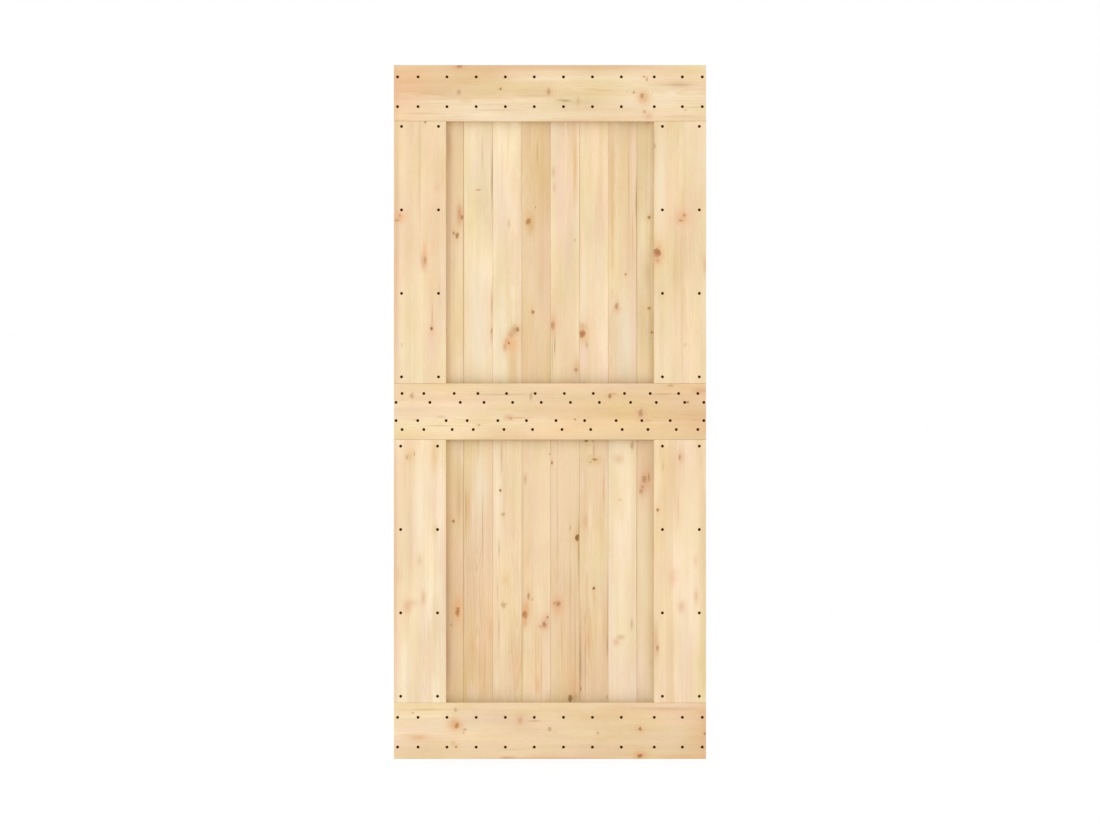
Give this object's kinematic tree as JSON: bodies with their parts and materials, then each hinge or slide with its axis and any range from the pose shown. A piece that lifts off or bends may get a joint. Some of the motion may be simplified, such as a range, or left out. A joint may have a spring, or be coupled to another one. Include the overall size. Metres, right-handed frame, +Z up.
{
  "type": "sliding door leaf",
  "caption": "Framed and boarded sliding door leaf of solid pine, with rails and stiles screwed over tongued and grooved boards, to hang from an overhead track.",
  "frame": {"origin": "middle of the top edge, halfway through the thickness of the leaf", "axes": "+X to the right seen from the front, +Y from the front to the back, +Z up"},
  "size_m": [0.945, 0.035, 2.1],
  "materials": {
    "rail_pine": "planed, unfinished",
    "stile_pine": "planed, unfinished",
    "board_pine": "planed, unfinished",
    "screw_steel": "dark bronze coating, satin"
  },
  "bodies": {
    "root": {"bottom_rail": "rail_pine", "bottom_rail_screws": "screw_steel", "lower_board_01": "board_pine", "lower_board_02": "board_pine", "lower_board_03": "board_pine", "lower_board_04": "board_pine", "lower_board_05": "board_pine", "lower_board_06": "board_pine", "lower_board_07": "board_pine", "lower_board_08": "board_pine", "lower_board_09": "board_pine", "lower_board_10": "board_pine", "lower_board_11": "board_pine", "lower_board_12": "board_pine", "lower_left_stile": "stile_pine", "lower_left_stile_screws": "screw_steel", "lower_right_stile": "stile_pine", "lower_right_stile_screws": "screw_steel", "middle_rail": "rail_pine", "middle_rail_screws": "screw_steel", "top_rail": "rail_pine", "top_rail_screws": "screw_steel", "upper_board_01": "board_pine", "upper_board_02": "board_pine", "upper_board_03": "board_pine", "upper_board_04": "board_pine", "upper_board_05": "board_pine", "upper_board_06": "board_pine", "upper_board_07": "board_pine", "upper_board_08": "board_pine", "upper_board_09": "board_pine", "upper_board_10": "board_pine", "upper_board_11": "board_pine", "upper_board_12": "board_pine", "upper_left_stile": "stile_pine", "upper_left_stile_screws": "screw_steel", "upper_right_stile": "stile_pine", "upper_right_stile_screws": "screw_steel"}
  },
  "joints": []
}
